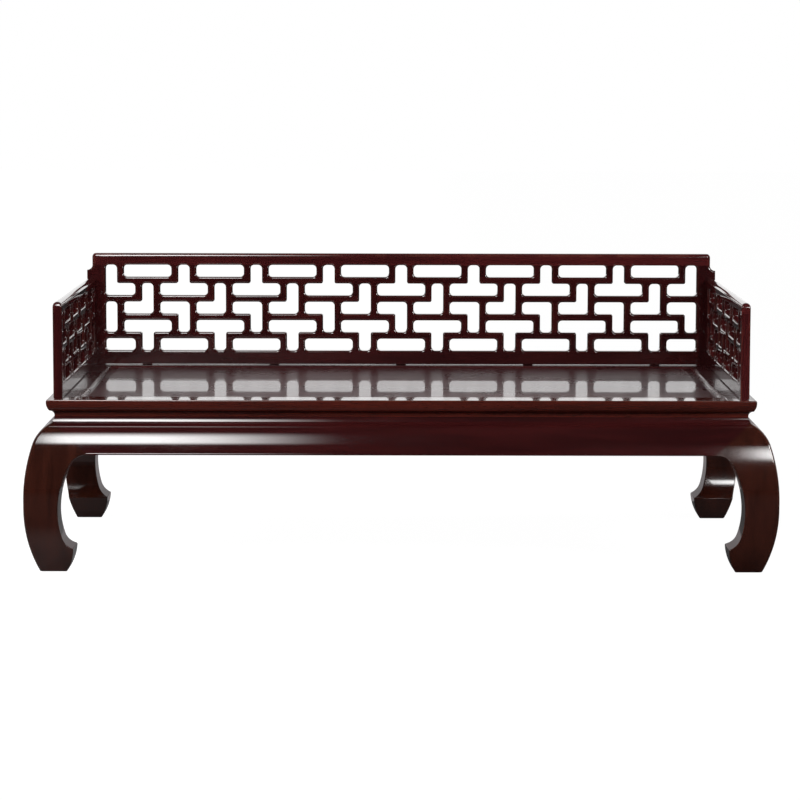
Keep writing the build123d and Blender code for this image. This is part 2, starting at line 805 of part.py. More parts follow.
# ---------------------------------------------------------------- back panel
back_lattice_edge = panel_half_width - back_stile
back = Panel(
    plane=Plane.XZ.offset(-back_rear),
    thickness=back_thickness,
    left=-back_lattice_edge,
    sill=bottom_rail_top,
    columns=back_columns,
    rows=back_rows,
    column_pitch=(2 * back_lattice_edge + back_bar) / back_columns,
    row_pitch=(back_top - back_top_rail - bottom_rail_top + back_bar) / back_rows,
    bar=back_bar,
)
back_head = back_top - back_top_rail
back_head_half = panel_half_width - back_shoulder
left_stile_across = (-panel_half_width, -back_lattice_edge)
left_stile_tenon = stile_tenon((-back_head_half, -back_lattice_edge), back_head)
right_stile_tenon = stile_tenon((back_lattice_edge, back_head_half), back_head)

with BuildPart() as back_stile_left:
    draw_stile(back, left_stile_across, 0, 1)
    with BuildSketch(back.plane):
        with Locations((-panel_half_width, back_head)):
            Circle(back_shoulder)
    extrude(amount=back_thickness, mode=Mode.SUBTRACT)
    frame_tenon(back, *left_stile_tenon)
    mortise_stile(back, left_stile_across, 1)
    cut_pockets(corner_key_boxes())
save(back_stile_left.part, "back_panel_stile_left")
mirrored(back_stile_left.part, Plane.YZ, "back_panel_stile_right")

save_bottom_rail(back, back_lattice_edge, back_key_boxes(), "back_panel_bottom_rail")

with BuildPart() as back_top_member:
    with BuildSketch(back.plane) as face:
        draw_boxes([((-back_head_half, back_head_half), (back_head, back_top))])
        fillet(face.vertices().group_by(Axis.Y)[-1], radius=back_corner_radius)
    extrude(amount=back_thickness)
    for side_face in back_top_member.faces().sort_by(Axis.Y)[::len(back_top_member.faces()) - 1]:
        fillet(side_face.edges().sort_by(Axis.Z)[1:], radius=back_top_rounding)
    frame_tenon(back, *left_stile_tenon, Mode.SUBTRACT)
    frame_tenon(back, *right_stile_tenon, Mode.SUBTRACT)
    cut_mortises(back, lattice_uprights(back, 0))
save(back_top_member.part, "back_panel_top_rail")

back_uprights = lattice_uprights_all(back)
back_rails = lattice_rails_all(back)
for level in range(back_rows - 1):
    save_bars(back, lattice_rails(back, level), back_uprights, f"back_lattice_rails_{level + 1}")
for row in range(back_rows):
    save_bars(back, lattice_uprights(back, row), back_rails, f"back_lattice_uprights_{row + 1}")


# ---------------------------------------------------------------- side panels
side_lattice_front = side_front + side_stile
side_lattice_rear = back_front - side_stile
side = Panel(
    plane=Plane.YZ.offset(-panel_half_width),
    thickness=side_thickness,
    left=side_lattice_front,
    sill=bottom_rail_top,
    columns=side_columns,
    rows=side_rows,
    column_pitch=(side_lattice_rear - side_lattice_front + side_bar) / side_columns,
    row_pitch=(side_top - side_top_rail - bottom_rail_top + side_bar) / side_rows,
    bar=side_bar,
)
side_head = side_top - side_top_rail
front_stile_across = (side_front, side_lattice_front)
rear_stile_across = (side_lattice_rear, back_front)
front_stile_tenon = stile_tenon(front_stile_across, side_head)
rear_stile_tenon = stile_tenon(rear_stile_across, side_head)


def mirror_to_right(name, part):
    """Save the right panel's copy of a piece of the left panel."""
    mirrored(part, Plane.YZ, name.replace("left", "right"))


with BuildPart() as front_stile:
    draw_stile(side, front_stile_across, 0, 1)
    front_edges = front_stile.faces().sort_by(Axis.Y)[0].edges().filter_by(Axis.Z)
    fillet(front_edges, radius=side_front_rounding)
    frame_tenon(side, *front_stile_tenon)
    mortise_stile(side, front_stile_across, 1)
save(front_stile.part, "left_panel_front_stile")
mirror_to_right("left_panel_front_stile", front_stile.part)

with BuildPart() as rear_stile:
    draw_stile(side, rear_stile_across, side_columns - 1, -1)
    frame_tenon(side, *rear_stile_tenon)
    mortise_stile(side, rear_stile_across, -1)
    cut_pockets(corner_key_boxes())
save(rear_stile.part, "left_panel_rear_stile")
mirror_to_right("left_panel_rear_stile", rear_stile.part)

side_bottom_member = save_bottom_rail(side, side_lattice_rear, side_key_boxes(), "left_panel_bottom_rail")
mirror_to_right("left_panel_bottom_rail", side_bottom_member)

with BuildPart() as side_top_member:
    with BuildSketch(side.plane):
        draw_boxes([((side_front, back_front), (side_head, side_top))])
    extrude(amount=side_thickness)
    fillet(side_top_member.edges().group_by(Axis.Z)[-1].filter_by(Axis.Y), radius=side_top_rounding)
    front_end = side_top_member.faces().sort_by(Axis.Y)[0]
    fillet(front_end.edges().sort_by(Axis.Z)[1:], radius=side_front_rounding)
    frame_tenon(side, *front_stile_tenon, Mode.SUBTRACT)
    frame_tenon(side, *rear_stile_tenon, Mode.SUBTRACT)
    cut_mortises(side, lattice_uprights(side, 0))
save(side_top_member.part, "left_panel_top_rail")
mirror_to_right("left_panel_top_rail", side_top_member.part)

for level in range(side_rows - 1):
    name = f"left_lattice_rails_{level + 1}"
    mirror_to_right(name, save_bars(side, lattice_rails(side, level), lattice_uprights_all(side), name))
side_uprights = save_bars(side, lattice_uprights_all(side), lattice_rails_all(side), "left_lattice_uprights")
mirror_to_right("left_lattice_uprights", side_uprights)
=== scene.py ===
# %% [markdown]
# # A luohan daybed in dark lacquered hardwood
#
# A luohan bed is a low Chinese couch: a framed wooden seat on four swelling legs, with an openwork
# railing at the back and at both ends. This lesson dresses the joined model of such a bed. The joined
# model holds every stick of wood with its tenons; here the visible faces get soft edges, real grain
# that runs along each member, and a deep glossy lacquer.
#
# Everything is in metres. X runs along the bed, Y from front to rear, and Z up from the floor.

# %% Load the joined model
import bmesh
import bpy
import math
import random
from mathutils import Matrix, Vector


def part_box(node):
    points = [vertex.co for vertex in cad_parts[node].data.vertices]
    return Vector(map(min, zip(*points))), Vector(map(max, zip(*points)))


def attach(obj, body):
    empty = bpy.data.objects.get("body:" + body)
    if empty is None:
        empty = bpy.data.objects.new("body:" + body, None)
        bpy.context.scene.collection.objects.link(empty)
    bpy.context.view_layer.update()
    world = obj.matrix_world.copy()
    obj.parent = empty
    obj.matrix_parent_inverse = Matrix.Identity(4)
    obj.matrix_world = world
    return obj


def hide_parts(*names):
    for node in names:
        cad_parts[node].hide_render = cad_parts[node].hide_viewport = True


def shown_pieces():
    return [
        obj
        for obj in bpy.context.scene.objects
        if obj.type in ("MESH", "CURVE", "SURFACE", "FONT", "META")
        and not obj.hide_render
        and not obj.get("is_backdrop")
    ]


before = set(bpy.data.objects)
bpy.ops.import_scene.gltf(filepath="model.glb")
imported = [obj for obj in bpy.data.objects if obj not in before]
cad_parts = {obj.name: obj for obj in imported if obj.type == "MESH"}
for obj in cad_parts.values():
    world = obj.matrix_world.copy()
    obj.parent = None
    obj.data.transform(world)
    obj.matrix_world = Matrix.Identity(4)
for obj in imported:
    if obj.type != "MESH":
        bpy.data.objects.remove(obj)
scene = bpy.context.scene
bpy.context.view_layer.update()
print("parts in the joined model:", len(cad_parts))

# %% [markdown]
# ## Where things are
#
# The joined model already knows the places, so this cell reads them from its parts. Only a few sizes
# that no part's box gives away are written out in later cells, such as the width of the lattice bars.

# %% Read the main places
seat_front_low, seat_front_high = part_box("seat_rail_front")
seat_top = seat_front_high.z
seat_edge_x = seat_front_high.x
seat_edge_y = -seat_front_low.y
apron_low, apron_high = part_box("apron_front")
apron_top = apron_high.z
apron_foot = apron_low.z
leg_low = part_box("leg_front_left")[0]
swell_x = -leg_low.x
swell_y = -leg_low.y
back_low, back_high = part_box("back_panel_bottom_rail")
side_low, side_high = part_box("left_panel_bottom_rail")
top_low, top_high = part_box("back_panel_top_rail")
side_top_low, side_top_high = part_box("left_panel_top_rail")
back_half = -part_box("back_panel_stile_left")[0].x
print(f"seat {seat_top:.3f} high, legs swell to {2 * swell_x:.3f} x {2 * swell_y:.3f}")

# %% [markdown]
# ## The camera
#
# Furniture is best shown through a long lens from far back, so that the legs stay straight and the
# railing doesn't shrink. A lens of 138 mm, a little above the seat and tipped down a few degrees,
# shows the front and just enough of the seat.

# %% Set up the camera
camera_lens = 138.46
camera_distance = 8.45  # in front of the swell of the legs
camera_height = 1.4286
camera_aside = -0.015
camera_tip = math.radians(6.351)
camera_roll = math.radians(-0.11)
camera_pan = math.radians(-0.060)

camera_data = bpy.data.cameras.new("studio_camera")
camera_data.lens = camera_lens
camera = bpy.data.objects.new("studio_camera", camera_data)
camera.location = (camera_aside, -swell_y - camera_distance, camera_height)
camera.rotation_euler = (math.pi / 2 - camera_tip, camera_roll, camera_pan)
scene.collection.objects.link(camera)
scene.camera = camera
scene.view_settings.view_transform = "Standard"
print("camera at", tuple(round(v, 3) for v in camera.location))

# %% [markdown]
# ## Node trees in a few words
#
# Every finish below is a tree of shader nodes. A few small helpers keep them readable: one adds a node
# and fills its sockets, and the others add the kinds of node that come back often.


# %% Helpers for shader nodes
def fill(tree, socket, value):
    """Join a socket to another node's output, or set its number."""
    if isinstance(value, bpy.types.NodeSocket):
        tree.links.new(value, socket)
    else:
        socket.default_value = value


def add_node(tree, kind, inputs=None, **settings):
    """Add a node, set its properties, and fill its inputs with numbers or with other nodes' outputs."""
    node = tree.nodes.new(kind)
    for name, value in settings.items():
        setattr(node, name, value)
    for name, value in (inputs or {}).items():
        fill(tree, node.inputs[name], value)
    return node


def maths(tree, operation, first, second=0.0, third=0.0):
    """One step of arithmetic; returns its output."""
    return add_node(tree, "ShaderNodeMath", {0: first, 1: second, 2: third}, operation=operation).outputs[0]


def vector_maths(tree, operation, first, second):
    """One step of arithmetic with places; returns its output."""
    return add_node(tree, "ShaderNodeVectorMath", {0: first, 1: second}, operation=operation).outputs[0]


def noise(tree, place, scale, detail, roughness=0.5):
    """Cloudy noise over places; returns the node."""
    inputs = {"Vector": place, "Scale": scale, "Detail": detail, "Roughness": roughness}
    return add_node(tree, "ShaderNodeTexNoise", inputs)


def ramp(tree, factor, low, high):
    """Spread the stretch from low to high over 0 to 1, smoothly; returns its output."""
    inputs = {"Value": factor, "From Min": low, "From Max": high}
    return add_node(tree, "ShaderNodeMapRange", inputs, interpolation_type="SMOOTHSTEP").outputs[0]


def blend_colours(tree, factor, first, second):
    """Mix two colours by a factor; returns the colour output."""
    return add_node(tree, "ShaderNodeMix", {0: factor, 6: first, 7: second}, data_type="RGBA").outputs[2]


def shaded(colour, share):
    """A darker tone of a colour."""
    return [part * share for part in colour[:3]] + [1]


def new_material(name):
    """An empty node material; returns it with its tree."""
    material = bpy.data.materials.new(name)
    material.use_nodes = True
    material.node_tree.nodes.clear()
    return material, material.node_tree


def put_out(tree, shader):
    """Join a shader to the output of its material."""
    add_node(tree, "ShaderNodeOutputMaterial", {"Surface": shader.outputs[0]})


# %% [markdown]
# ## The studio
#
# Lacquer shows its surroundings, so the room matters as much as the wood. A real studio has a roll of
# pale paper for floor and backdrop, one big softbox high on the left, a smaller one low on the right,
# weak ones where shadows get too deep, and is dark elsewhere. The same is built here: a room that is
# bright behind the bed and dim in front of it, a floor, and six lit panels.

# %% The room
backdrop_glow = 0.94
room_glow = 0.018
backdrop_low = 0.10  # how far behind, as a direction, the paper backdrop starts
backdrop_full = 0.60
backdrop_rise = 0.50  # sine of the height at which the paper starts to darken
backdrop_end = 0.85

world = bpy.data.worlds.new("studio_room")
scene.world = world
world.use_nodes = True
room = world.node_tree
room.nodes.clear()
direction = add_node(room, "ShaderNodeTexCoord").outputs["Generated"]
split_direction = add_node(room, "ShaderNodeSeparateXYZ", {0: direction})
behind = ramp(room, split_direction.outputs["Y"], backdrop_low, backdrop_full)
paper_end = ramp(room, split_direction.outputs["Z"], backdrop_rise, backdrop_end)
paper = maths(room, "MULTIPLY", behind, maths(room, "SUBTRACT", 1.0, paper_end))
glow = maths(room, "MULTIPLY_ADD", paper, backdrop_glow - room_glow, room_glow)
seen = add_node(room, "ShaderNodeLightPath").outputs["Is Camera Ray"]
strength = maths(room, "MAXIMUM", glow, seen)  # the camera itself sees the room white
background = add_node(room, "ShaderNodeBackground", {"Color": (1, 1, 1, 1), "Strength": strength})
add_node(room, "ShaderNodeOutputWorld", {"Surface": background.outputs[0]})
print("room glow", room_glow, "behind the bed", backdrop_glow)

# %% [markdown]
# The floor is one large sheet of paper that sweeps up into the backdrop. Dark cloths cover it in front
# of the bed and towards the right, so that the legs mirror little light paper. A glow for the camera
# only lifts the whole sheet, cloths and all, to the white of the backdrop, so that no horizon shows.

# %% The floor
floor_size = 60.0
floor_colour = (0.16, 0.16, 0.164, 1)
floor_unevenness = 0.97
cloth_colour = (0.03, 0.03, 0.031, 1)
cloth_end = -0.95  # the cloths end in front of the bed, and the paper is bare from here on
paper_start = -0.68
cloth_right = 0.9  # and they thin out from the right to the left
paper_left = -0.5
floor_lift = 0.99
under_glow = 0.04  # light that the paper behind the bed throws back under it
under_front = (-0.5, -0.1)  # it grows over the first stretch and fades over the second
under_rear = (2.0, 1.0)


def flat_panel(name, centre, across, up):
    """A flat panel of the studio, from its middle to its right and upper edge; returns the object."""
    centre, across, up = Vector(centre), Vector(across), Vector(up)
    corners = [centre - across - up, centre + across - up, centre + across + up, centre - across + up]
    mesh = bpy.data.meshes.new(name)
    mesh.from_pydata([tuple(corner) for corner in corners], [], [(0, 1, 2, 3)])
    panel = bpy.data.objects.new(name, mesh)
    scene.collection.objects.link(panel)
    panel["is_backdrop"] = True
    return panel


floor = flat_panel("studio_floor", (0, 0, 0), (floor_size / 2, 0, 0), (0, floor_size / 2, 0))
floor_paper, tree = new_material("floor_paper")
paper_places = add_node(tree, "ShaderNodeTexCoord").outputs["Object"]
mottle = noise(tree, paper_places, 3.0, 6.0).outputs[0]
paper_colour = blend_colours(tree, mottle, floor_colour, shaded(floor_colour, floor_unevenness))
split_places = add_node(tree, "ShaderNodeSeparateXYZ", {0: paper_places})
aside, depth = split_places.outputs["X"], split_places.outputs["Y"]
bare = ramp(tree, depth, cloth_end, paper_start)
bare = maths(tree, "MULTIPLY", bare, ramp(tree, aside, cloth_right, paper_left))
laid_colour = blend_colours(tree, bare, cloth_colour, paper_colour)
matt = add_node(tree, "ShaderNodeBsdfDiffuse", {"Color": laid_colour})
under = maths(tree, "MULTIPLY", ramp(tree, depth, *under_front), ramp(tree, depth, *under_rear))
seen = add_node(tree, "ShaderNodeLightPath").outputs["Is Camera Ray"]
glow = maths(tree, "MULTIPLY", under, under_glow)
glow = maths(tree, "MAXIMUM", glow, maths(tree, "MULTIPLY", seen, floor_lift))
lift = add_node(tree, "ShaderNodeEmission", {"Strength": glow})
put_out(tree, add_node(tree, "ShaderNodeAddShader", {0: matt.outputs[0], 1: lift.outputs[0]}))
floor.data.materials.append(floor_paper)
print("floor", floor_size, "m square")

# %% [markdown]
# A softbox is a lit sheet of cloth. Blender's area lights are evenly bright, and the mirror image of
# such a light ends too sharply in lacquer, so each softbox here is a mesh panel whose glow falls off
# towards its edges. The key light draws the long highlight on the apron, and the right one the short
# highlight on the leg. The others only lift the shadows, and three of them are kept out of the
# lacquer's mirror images, which a real studio does with screens.

# %% The softboxes
even_fades = (0.30, 0.30, 0.30, 0.30)


def away_from(point, azimuth, elevation, distance):
    """A place seen from a point, in degrees to the right of straight ahead and above the horizon."""
    a, e = math.radians(azimuth), math.radians(elevation)
    way = Vector((math.sin(a) * math.cos(e), -math.cos(a) * math.cos(e), math.sin(e)))
    return Vector(point) + way * distance


def softbox(name, aim, way, size, power, fades=even_fades, mirrored=True):
    """A glowing panel that faces a point. Way is its azimuth, elevation and distance from that point,
    and fades are its soft shares at right, left, bottom and top."""
    width, height = size
    centre = away_from(aim, *way)
    facing = (Vector(aim) - centre).normalized()
    across = Vector((0, 0, 1)).cross(facing).normalized()
    up = facing.cross(across)
    panel = flat_panel(name, centre, across * width / 2, up * height / 2)
    panel.visible_camera = False
    panel.visible_glossy = mirrored
    layer = panel.data.uv_layers.new(name="panel")
    for loop, place in zip(layer.data, ((0, 0), (1, 0), (1, 1), (0, 1))):
        loop.uv = place

    cloth, tree = new_material(name + "_cloth")
    spot = add_node(tree, "ShaderNodeUVMap", uv_map="panel").outputs[0]
    spot = add_node(tree, "ShaderNodeSeparateXYZ", {0: spot})
    rear = add_node(tree, "ShaderNodeNewGeometry").outputs["Backfacing"]
    glow = maths(tree, "SUBTRACT", 1.0, rear)
    for axis, low_fade, high_fade in (("X", fades[0], fades[1]), ("Y", fades[2], fades[3])):
        share = spot.outputs[axis]
        rest = maths(tree, "SUBTRACT", 1.0, share)
        glow = maths(tree, "MULTIPLY", glow, ramp(tree, share, 0.0, low_fade))
        glow = maths(tree, "MULTIPLY", glow, ramp(tree, rest, 0.0, high_fade))
    glow = maths(tree, "MULTIPLY", glow, power)
    put_out(tree, add_node(tree, "ShaderNodeEmission", {"Strength": glow}))
    panel.data.materials.append(cloth)
    print(f"{name}: {width:.2f} x {height:.2f} m, power {power:g}")


apron_height = (apron_top + apron_foot) / 2
key_aim = (-0.82, -swell_y, apron_height)
softbox("key_softbox", key_aim, (0.0, 51.0, 3.0), (1.24, 2.66), 13.5, (0.67, 0.16, 0.27, 0.48))
right_aim = (1.25, -swell_y, apron_height)
softbox("right_softbox", right_aim, (8.8, 22.8, 3.5), (0.9, 0.76), 17.0, (0.30, 0.26, 0.30, 0.60))
fill_size = (1.2, 1.2)
fill_aim = (0.6, -swell_y, seat_top)
softbox("fill_softbox", fill_aim, (52.0, 24.0, 4.0), fill_size, 32.0)
left_fill_aim = (-0.6, -swell_y, seat_top)
softbox("left_fill_softbox", left_fill_aim, (-52.0, 24.0, 4.0), fill_size, 30.0, mirrored=False)
for name, side in (("left_end_softbox", -1), ("right_end_softbox", 1)):
    end_aim = (side * seat_edge_x, 0, seat_top)
    softbox(name, end_aim, (side * 100.0, 38.0, 4.0), (1.8, 1.2), 18.0, mirrored=False)

# %% [markdown]
# A low grey board stands behind the bed. Only the legs mirror it, in their inner sides and hoof tops,
# which would shine as white as the backdrop without it.

# %% The grey board
board_width = 8.0
board_height = 0.45
board_depth = 0.8  # how far behind the middle of the bed it stands
board_tint = (1.0, 0.92, 0.94, 1)
board_glow = 0.22
board_mottle = 0.02

half_up = board_height / 2
grey_board = flat_panel("grey_board", (0, board_depth, half_up), (board_width / 2, 0, 0), (0, 0, half_up))
grey_board.visible_camera = False
grey_card, tree = new_material("grey_card")
card_places = add_node(tree, "ShaderNodeTexCoord").outputs["Object"]
mottle = noise(tree, card_places, 2.0, 3.0).outputs[0]
card_glow = maths(tree, "MULTIPLY_ADD", mottle, board_mottle, board_glow)
put_out(tree, add_node(tree, "ShaderNodeEmission", {"Color": board_tint, "Strength": card_glow}))
grey_board.data.materials.append(grey_card)
print("grey board", board_height, "m high")

# %% [markdown]
# ## Shared effects
#
# Three effects come back in every finish: the grain of the wood, the wear along edges, and the marks
# that hands and cloths leave on a polished surface. Each is a node group, made once. The groups put
# out masks and heights only; every finish decides what to do with them.


# %% Start a group
def new_group(name, inputs, outputs):
    """A shader group with named sockets; returns its tree, what it is given and what it makes."""
    group = bpy.data.node_groups.new(name, "ShaderNodeTree")
    for title, kind, value in inputs:
        socket = group.interface.new_socket(title, in_out="INPUT", socket_type=kind)
        if value is not None:
            socket.default_value = value
    for title in outputs:
        group.interface.new_socket(title, in_out="OUTPUT", socket_type="NodeSocketFloat")
    return group, group.nodes.new("NodeGroupInput").outputs, group.nodes.new("NodeGroupOutput").inputs


def use_group(tree, group, inputs):
    """Place a group in a tree; returns its outputs."""
    return add_node(tree, "ShaderNodeGroup", inputs, node_tree=group).outputs


# %% [markdown]
# ### Grain
#
# A board is a slice through long fibres, so its pattern is the same noise everywhere, only drawn out
# along the grain. The group takes a place whose X runs along the grain, squeezes X, and lays three
# sizes over each other: broad dark figure, fine fibres, and the short open pores of rosewood.

# %% The grain group
grain, given, made = new_group(
    "wood_grain",
    [
        ("Place", "NodeSocketVector", None),
        ("Figure Scale", "NodeSocketFloat", 22.0),
        ("Fibre Scale", "NodeSocketFloat", 420.0),
    ],
    ["Figure", "Fibre", "Pore"],
)
drift_reach = (0.03, 0.03, 0.03)
line_roughness = 0.6
drift = noise(grain, given["Place"], 3.0, 2.0).outputs["Color"]
bent = vector_maths(grain, "ADD", given["Place"], vector_maths(grain, "MULTIPLY", drift, drift_reach))
pore_scale = maths(grain, "MULTIPLY", given["Fibre Scale"], 1.6)
layers = (
    # name, squeeze, scale, detail, and the stretch of the noise that counts
    ("Figure", 0.07, given["Figure Scale"], 5.0, 0.34, 0.66),
    ("Fibre", 0.03, given["Fibre Scale"], 3.0, 0.30, 0.70),
    ("Pore", 0.05, pore_scale, 1.0, 0.60, 0.72),
)
for title, squeeze, scale, detail, low, high in layers:
    longer = vector_maths(grain, "MULTIPLY", bent, (squeeze, 1, 1))
    lines = noise(grain, longer, scale, detail, line_roughness).outputs[0]
    fill(grain, made[title], ramp(grain, lines, low, high))
print("grain group:", [s.name for s in grain.interface.items_tree])

# %% [markdown]
# ### Edge wear
#
# Lacquer thins where it bends round an edge, and the wood shows lighter there in places. The pieces
# below mark their rounded edges with an attribute, and the group breaks that mark up into patches.

# %% The edge wear group
wear, given, made = new_group(
    "edge_wear",
    [
        ("Edge", "NodeSocketFloat", 0.0),
        ("Place", "NodeSocketVector", None),
        ("Patches", "NodeSocketFloat", 14.0),
    ],
    ["Wear"],
)
patches = noise(wear, given["Place"], given["Patches"], 4.0).outputs[0]
fill(wear, made["Wear"], maths(wear, "MULTIPLY", given["Edge"], ramp(wear, patches, 0.35, 0.65)))
print("edge wear group:", [s.name for s in wear.interface.items_tree])

# %% [markdown]
# ### Handling
#
# A polished surface is never equally smooth. Wiping leaves broad dull patches, and brushing the
# lacquer leaves long shallow waves. The group gives both: a smudge mask, and a height for the waves.

# %% The handling group
handling, given, made = new_group(
    "handling_marks",
    [
        ("Place", "NodeSocketVector", None),
        ("Smudge Scale", "NodeSocketFloat", 5.0),
        ("Wave Scale", "NodeSocketFloat", 45.0),
    ],
    ["Smudge", "Wave"],
)
smudge = noise(handling, given["Place"], given["Smudge Scale"], 5.0).outputs[0]
brush_squeeze = (0.25, 1, 1)
brushed = vector_maths(handling, "MULTIPLY", given["Place"], brush_squeeze)
fill(handling, made["Smudge"], ramp(handling, smudge, 0.35, 0.70))
fill(handling, made["Wave"], noise(handling, brushed, given["Wave Scale"], 1.0).outputs[0])
print("handling group:", [s.name for s in handling.interface.items_tree])

# %% [markdown]
# ## Finishes
#
# The bed is rosewood-like timber stained a deep maroon under many coats of clear gloss. The colour
# lives in the wood below and the gloss in the lacquer on top: a dark base colour with grain, and a
# low roughness that smudges and pores disturb a little. The frame is maroon, the legs and the front
# rail are of browner boards, and the seat and the rails under the railings are rubbed to a softer gloss.

# %% A finish for lacquered wood
figure_share = 0.65  # how much the broad figure and the fine fibres count in the tone
fibre_share = 0.35
pore_cover = 0.55
pore_shade = 0.25
pore_roughness = 0.08
wear_cover = 0.25
fibre_height = 0.10
pore_height = -0.12
relief_depth = 0.001
lacquer_ior = 1.5
coat_roughness = 0.03


def lacquered_wood(
    name, dark, light, edge, roughness, place_source="grain_place", figure_scale=22.0, bump=0.05, coat=1.0
):
    """Stained wood under gloss: colours from dark to light along the figure, with lighter edges."""
    material, tree = new_material(name)
    if place_source == "Object":
        place = add_node(tree, "ShaderNodeTexCoord").outputs["Object"]
    else:
        place = add_node(tree, "ShaderNodeAttribute", attribute_name=place_source).outputs["Vector"]
    lines = use_group(tree, grain, {"Place": place, "Figure Scale": figure_scale})
    marks = use_group(tree, handling, {"Place": place})
    edge_mark = add_node(tree, "ShaderNodeAttribute", attribute_name="edge_round").outputs["Fac"]
    worn = use_group(tree, wear, {"Edge": edge_mark, "Place": place})

    broad = maths(tree, "MULTIPLY", lines["Figure"], figure_share)
    tone = maths(tree, "MULTIPLY_ADD", lines["Fibre"], fibre_share, broad)
    colour = blend_colours(tree, tone, dark, light)
    pores = maths(tree, "MULTIPLY", lines["Pore"], pore_cover)
    colour = blend_colours(tree, pores, colour, shaded(dark, pore_shade))
    colour = blend_colours(tree, maths(tree, "MULTIPLY", worn["Wear"], wear_cover), colour, edge)
    board_tone = add_node(tree, "ShaderNodeAttribute", attribute_name="board_tone").outputs["Fac"]
    toned = {0: colour, "Scale": maths(tree, "ADD", board_tone, 1.0)}
    colour = add_node(tree, "ShaderNodeVectorMath", toned, operation="SCALE").outputs[0]

    rough = maths(tree, "MULTIPLY_ADD", marks["Smudge"], roughness[1] - roughness[0], roughness[0])
    rough = maths(tree, "MULTIPLY_ADD", lines["Pore"], pore_roughness, rough)
    height = maths(tree, "MULTIPLY_ADD", lines["Fibre"], fibre_height, marks["Wave"])
    height = maths(tree, "MULTIPLY_ADD", lines["Pore"], pore_height, height)
    relief = add_node(tree, "ShaderNodeBump", {"Strength": bump, "Distance": relief_depth, "Height": height})
    inputs = {
        "Base Color": colour,
        "Roughness": rough,
        "Normal": relief.outputs[0],
        "IOR": lacquer_ior,
        "Coat Weight": coat,
        "Coat Roughness": coat_roughness,
    }
    put_out(tree, add_node(tree, "ShaderNodeBsdfPrincipled", inputs))
    print(f"{name}: roughness {roughness[0]:g} to {roughness[1]:g}")
    return material


# %% The finishes of the bed
red_edge = (0.11, 0.035, 0.022, 1)
warm_edge = (0.12, 0.045, 0.025, 1)
rubbed_edge = (0.11, 0.040, 0.026, 1)
seat_edge = (0.12, 0.040, 0.030, 1)

maroon = lacquered_wood(
    "maroon_lacquer", (0.022, 0.0032, 0.0038, 1), (0.054, 0.0078, 0.0080, 1), red_edge, (0.08, 0.13)
)
leg_brown = lacquered_wood(
    "brown_lacquer", (0.023, 0.0054, 0.0035, 1), (0.061, 0.0146, 0.0086, 1), red_edge, (0.09, 0.16)
)
warm_brown = lacquered_wood(
    "warm_brown_lacquer", (0.047, 0.0077, 0.0052, 1), (0.106, 0.0155, 0.0094, 1), warm_edge, (0.11, 0.18)
)
rubbed_brown = lacquered_wood(
    "rubbed_brown_lacquer", (0.030, 0.0080, 0.0088, 1), (0.066, 0.0140, 0.0150, 1), rubbed_edge,
    (0.25, 0.31), coat=0.35,
)
seat_gloss = lacquered_wood(
    "seat_lacquer", (0.038, 0.0080, 0.0098, 1), (0.074, 0.0150, 0.0180, 1), seat_edge, (0.27, 0.31),
    figure_scale=14.0, coat=0.65,
)

# %% [markdown]
# The tenons, keys and battens inside the bed were never stained. They are the same timber in its own
# lighter colour, planed and sealed with one clear coat.

# %% The finish of the inner pieces
bare_wood = lacquered_wood(
    "bare_planed_wood", (0.10, 0.035, 0.020, 1), (0.20, 0.085, 0.045, 1), (0.26, 0.13, 0.08, 1), (0.50, 0.62),
    place_source="Object", figure_scale=30.0, bump=0.25,
)

# %% [markdown]
# ## Pieces with soft edges
#
# The joined model has knife-sharp edges, because that is how joints are drawn. On the real bed every
# edge that a hand can reach is rounded with a plane and sandpaper, and those small rounds carry the
# thin bright lines that make furniture look solid. Each dressed piece starts as a copy of its part:
# the triangles are merged back into clean faces, the edges that show are rounded, and each face
# corner gets a place along the grain.

# %% Grain places for a piece
random_places = random.Random(7)
board_spread = 0.10  # boards differ this much in tone
grain_axes = {"x": (0, 1, 2), "y": (1, 0, 2), "z": (2, 0, 1)}


def lay_grain(mesh, board_of):
    """Write the grain place of each face corner, X along the grain, and how much lighter its board is.
    board_of gives the grain axis, the offset into the noise and the tone of a face's board."""
    layer = mesh.attributes.new("grain_place", "FLOAT_VECTOR", "CORNER")
    tones = mesh.attributes.new("board_tone", "FLOAT", "FACE")
    for face in mesh.polygons:
        axis, offset, tone = board_of(face)
        tones.data[face.index].value = tone
        order = grain_axes[axis]
        for corner in face.loop_indices:
            place = mesh.vertices[mesh.loops[corner].vertex_index].co
            layer.data[corner].vector = [place[order[i]] + offset[i] for i in range(3)]


def somewhere():
    """A random offset into the noise, so that no two boards look alike."""
    return [random_places.uniform(0, 40) for _ in range(3)]


def finish_piece(mesh, name, material, nodes):
    """Make an object from a mesh and let it stand for its parts."""
    mesh.materials.append(material)
    piece = bpy.data.objects.new(name, mesh)
    scene.collection.objects.link(piece)
    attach(piece, "root")
    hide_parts(*nodes)
    return piece


# %% [markdown]
# A highlight on gloss shows every fault in the direction of a surface, and long thin triangles have
# such faults. So each face corner gets its direction here: a broad face shares it with its smooth
# neighbours, a rounded edge borrows it from the faces beside it, and the swelling faces, whose curve
# is known, get the true one.

# %% Directions of the face corners
smooth_angle = math.radians(32)
borrow_angle = math.radians(50)


def with_neighbours(line):
    """Each item of a closed line, between the one before it and the one after it."""
    return zip(line[-1:] + line[:-1], line, line[1:] + line[:1])


def weighed(entries):
    """The sum of some faces' directions, each by the angle that its corner opens."""
    total = Vector()
    for face, _, opening in entries:
        total += face.normal * opening
    return total


